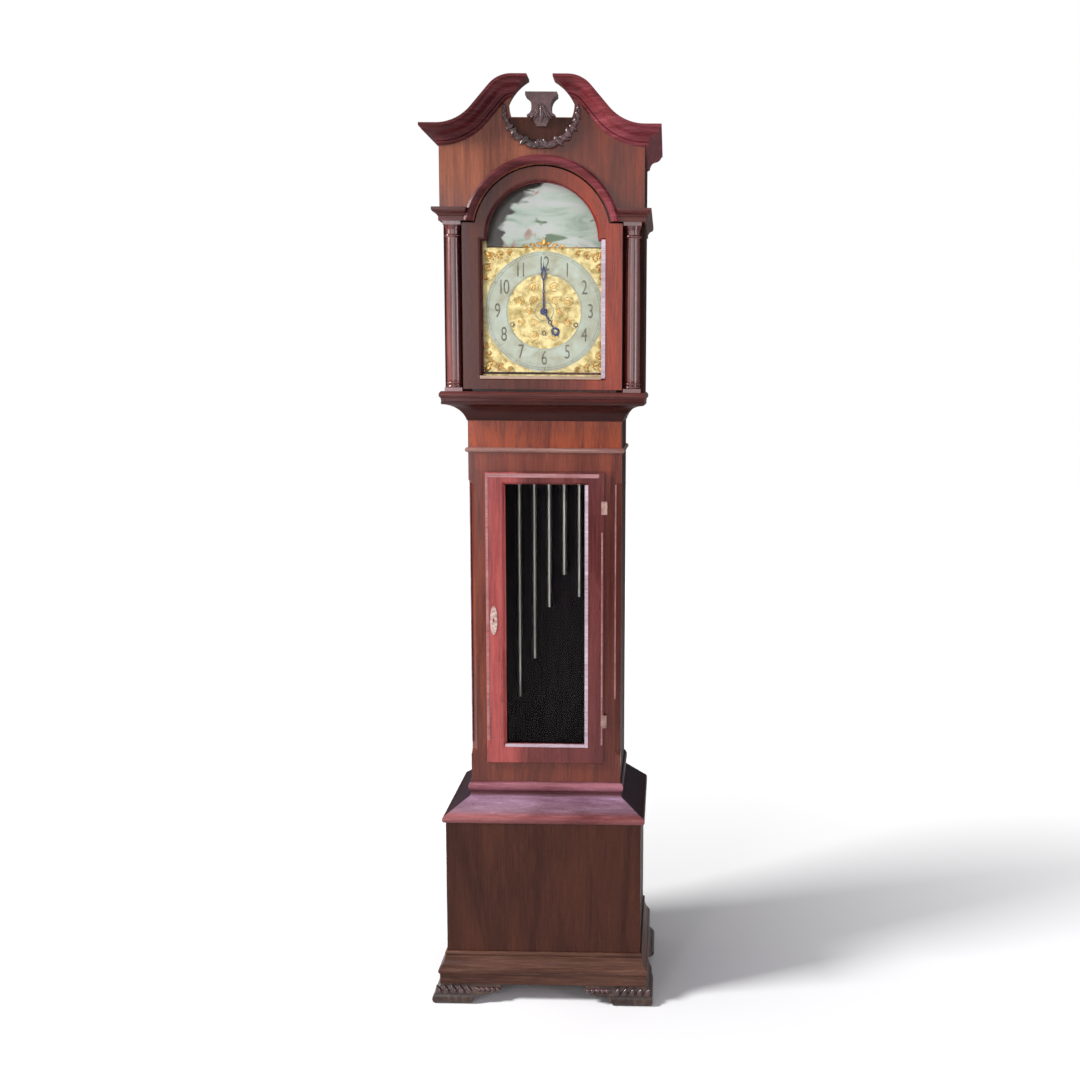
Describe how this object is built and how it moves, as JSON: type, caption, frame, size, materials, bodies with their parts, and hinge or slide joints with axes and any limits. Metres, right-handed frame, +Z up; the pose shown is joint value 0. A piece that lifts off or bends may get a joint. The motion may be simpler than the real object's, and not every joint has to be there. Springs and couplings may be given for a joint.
{
  "type": "longcase clock",
  "caption": "Free-standing mahogany longcase clock with tubular bells behind a glazed trunk door, arched dial and a sliding hood with a swan-neck pediment.",
  "frame": {"origin": "bottom centre of the bounding box, on the floor under the feet", "axes": "+Z up, -Y towards the viewer of the dial, +X to the right as the clock is seen from the front"},
  "size_m": [0.569, 0.35, 2.295],
  "materials": {
    "mahogany": "polished",
    "dark_mahogany": "polished",
    "oak": "plain",
    "gilt_brass": "gilt and matted",
    "silvered_brass": "silvered",
    "brass": "lacquered",
    "blued_steel": "blued",
    "steel": "polished",
    "nickel_plate": "plated",
    "glass": "clear"
  },
  "bodies": {
    "case": {"backboard": "oak", "trunk_side_left": "mahogany", "trunk_side_right": "mahogany", "trunk_front_frame": "mahogany", "trunk_astragal": "dark_mahogany", "hood_support_moulding": "dark_mahogany", "trunk_foot_moulding": "dark_mahogany", "base_side_left": "dark_mahogany", "base_side_right": "dark_mahogany", "base_front_panel": "dark_mahogany", "base_floor": "oak", "base_moulding": "dark_mahogany", "bracket_feet": "dark_mahogany", "seatboard": "oak", "dial_plate": "gilt_brass", "chapter_ring": "silvered_brass", "movement_front_plate": "brass", "movement_back_plate": "brass", "tube_rack": "brass"},
    "hood": {"hood_base": "dark_mahogany", "hood_side_left": "mahogany", "hood_side_right": "mahogany", "column_left": "mahogany", "column_right": "mahogany", "tympanum_board": "mahogany", "arch_moulding": "dark_mahogany", "entablature": "dark_mahogany", "swan_neck_left": "dark_mahogany", "swan_neck_right": "dark_mahogany", "hood_top_board": "oak", "carved_crescent": "dark_mahogany", "finial_plinth": "dark_mahogany", "dial_mask": "mahogany"},
    "hood_door": {"hood_door_frame": "mahogany", "hood_door_glass": "glass"},
    "trunk_door": {"trunk_door_frame": "mahogany", "trunk_door_glass": "glass", "trunk_door_escutcheon": "brass", "trunk_door_hinges": "brass"},
    "lock_bolt": {"lock_bolt": "steel"},
    "minute_hand": {"minute_hand": "blued_steel"},
    "hour_hand": {"hour_hand": "blued_steel"},
    "motion_wheel": {"motion_wheel": "brass"},
    "strike_barrel": {"strike_barrel": "brass"},
    "time_barrel": {"time_barrel": "brass"},
    "chime_barrel": {"chime_barrel": "brass"},
    "anchor": {"anchor": "steel"},
    "pendulum": {"pendulum": "brass"},
    "escape_wheel": {"escape_wheel": "brass"},
    "chime_drum": {"chime_drum": "brass"},
    "hammer_1": {"hammer_1": "steel"},
    "hammer_2": {"hammer_2": "steel"},
    "hammer_3": {"hammer_3": "steel"},
    "hammer_4": {"hammer_4": "steel"},
    "hammer_5": {"hammer_5": "steel"},
    "bell_tube_1": {"bell_tube_1": "nickel_plate"},
    "bell_tube_2": {"bell_tube_2": "nickel_plate"},
    "bell_tube_3": {"bell_tube_3": "nickel_plate"},
    "bell_tube_4": {"bell_tube_4": "nickel_plate"},
    "bell_tube_5": {"bell_tube_5": "nickel_plate"}
  },
  "joints": [
    {"name": "hood_slide", "type": "slide", "parent": "case", "child": "hood", "axis": [0, -1, 0], "range_m": [0, 0.33]},
    {"name": "hood_door_hinge", "type": "hinge", "parent": "hood", "child": "hood_door", "pos_m": [0.188, -0.124, 1.76], "axis": [0, 0, 1], "range_deg": [0, 90]},
    {"name": "trunk_door_hinge", "type": "hinge", "parent": "case", "child": "trunk_door", "pos_m": [0.154, -0.0862, 0.985], "axis": [0, 0, 1], "range_deg": [0, 115]},
    {"name": "lock_bolt_slide", "type": "slide", "parent": "trunk_door", "child": "lock_bolt", "axis": [-1, 0, 0], "range_m": [0, 0.006]},
    {"name": "minute_hand_turn", "type": "hinge", "parent": "case", "child": "minute_hand", "pos_m": [0, -0.09, 1.7555], "axis": [0, 1, 0], "continuous": true},
    {"name": "hour_hand_turn", "type": "hinge", "parent": "case", "child": "hour_hand", "pos_m": [0, -0.085, 1.7555], "axis": [0, 1, 0], "continuous": true},
    {"name": "motion_wheel_turn", "type": "hinge", "parent": "case", "child": "motion_wheel", "pos_m": [0.034, -0.07, 1.7555], "axis": [0, 1, 0], "continuous": true},
    {"name": "strike_barrel_wind", "type": "hinge", "parent": "case", "child": "strike_barrel", "pos_m": [-0.078, -0.02, 1.7235], "axis": [0, 1, 0], "continuous": true},
    {"name": "time_barrel_wind", "type": "hinge", "parent": "case", "child": "time_barrel", "pos_m": [0, -0.02, 1.7035], "axis": [0, 1, 0], "continuous": true},
    {"name": "chime_barrel_wind", "type": "hinge", "parent": "case", "child": "chime_barrel", "pos_m": [0.078, -0.02, 1.7235], "axis": [0, 1, 0], "continuous": true},
    {"name": "pendulum_swing", "type": "hinge", "parent": "case", "child": "pendulum", "pos_m": [0, 0.06, 1.8355], "axis": [0, 1, 0], "range_deg": [-3, 3]},
    {"name": "anchor_rock", "type": "hinge", "parent": "case", "child": "anchor", "pos_m": [0, 0.01, 1.8355], "axis": [0, 1, 0], "range_deg": [-3, 3]},
    {"name": "escape_wheel_turn", "type": "hinge", "parent": "case", "child": "escape_wheel", "pos_m": [0, 0.01, 1.8055], "axis": [0, 1, 0], "continuous": true},
    {"name": "chime_drum_turn", "type": "hinge", "parent": "case", "child": "chime_drum", "pos_m": [-0.08, -0.01, 1.8095], "axis": [0, 1, 0], "continuous": true},
    {"name": "hammer_1_lift", "type": "hinge", "parent": "case", "child": "hammer_1", "pos_m": [-0.094, 0.112, 1.735], "axis": [-1, 0, 0], "range_deg": [0, 12]},
    {"name": "bell_tube_1_swing", "type": "hinge", "parent": "case", "child": "bell_tube_1", "pos_m": [-0.094, 0.125, 1.7125], "axis": [1, 0, 0], "range_deg": [-1, 1]},
    {"name": "hammer_2_lift", "type": "hinge", "parent": "case", "child": "hammer_2", "pos_m": [-0.053, 0.112, 1.735], "axis": [-1, 0, 0], "range_deg": [0, 12]},
    {"name": "bell_tube_2_swing", "type": "hinge", "parent": "case", "child": "bell_tube_2", "pos_m": [-0.053, 0.125, 1.7125], "axis": [1, 0, 0], "range_deg": [-1, 1]},
    {"name": "hammer_3_lift", "type": "hinge", "parent": "case", "child": "hammer_3", "pos_m": [-0.012, 0.112, 1.735], "axis": [-1, 0, 0], "range_deg": [0, 12]},
    {"name": "bell_tube_3_swing", "type": "hinge", "parent": "case", "child": "bell_tube_3", "pos_m": [-0.012, 0.125, 1.7125], "axis": [1, 0, 0], "range_deg": [-1, 1]},
    {"name": "hammer_4_lift", "type": "hinge", "parent": "case", "child": "hammer_4", "pos_m": [0.029, 0.112, 1.735], "axis": [-1, 0, 0], "range_deg": [0, 12]},
    {"name": "bell_tube_4_swing", "type": "hinge", "parent": "case", "child": "bell_tube_4", "pos_m": [0.029, 0.125, 1.7125], "axis": [1, 0, 0], "range_deg": [-1, 1]},
    {"name": "hammer_5_lift", "type": "hinge", "parent": "case", "child": "hammer_5", "pos_m": [0.07, 0.112, 1.735], "axis": [-1, 0, 0], "range_deg": [0, 12]},
    {"name": "bell_tube_5_swing", "type": "hinge", "parent": "case", "child": "bell_tube_5", "pos_m": [0.07, 0.125, 1.7125], "axis": [1, 0, 0], "range_deg": [-1, 1]}
  ],
  "couplings": [
    {"joint": "motion_wheel_turn", "follows": "minute_hand_turn", "ratio": -0.33333},
    {"joint": "hour_hand_turn", "follows": "minute_hand_turn", "ratio": 0.083333},
    {"joint": "anchor_rock", "follows": "pendulum_swing", "ratio": 1}
  ]
}
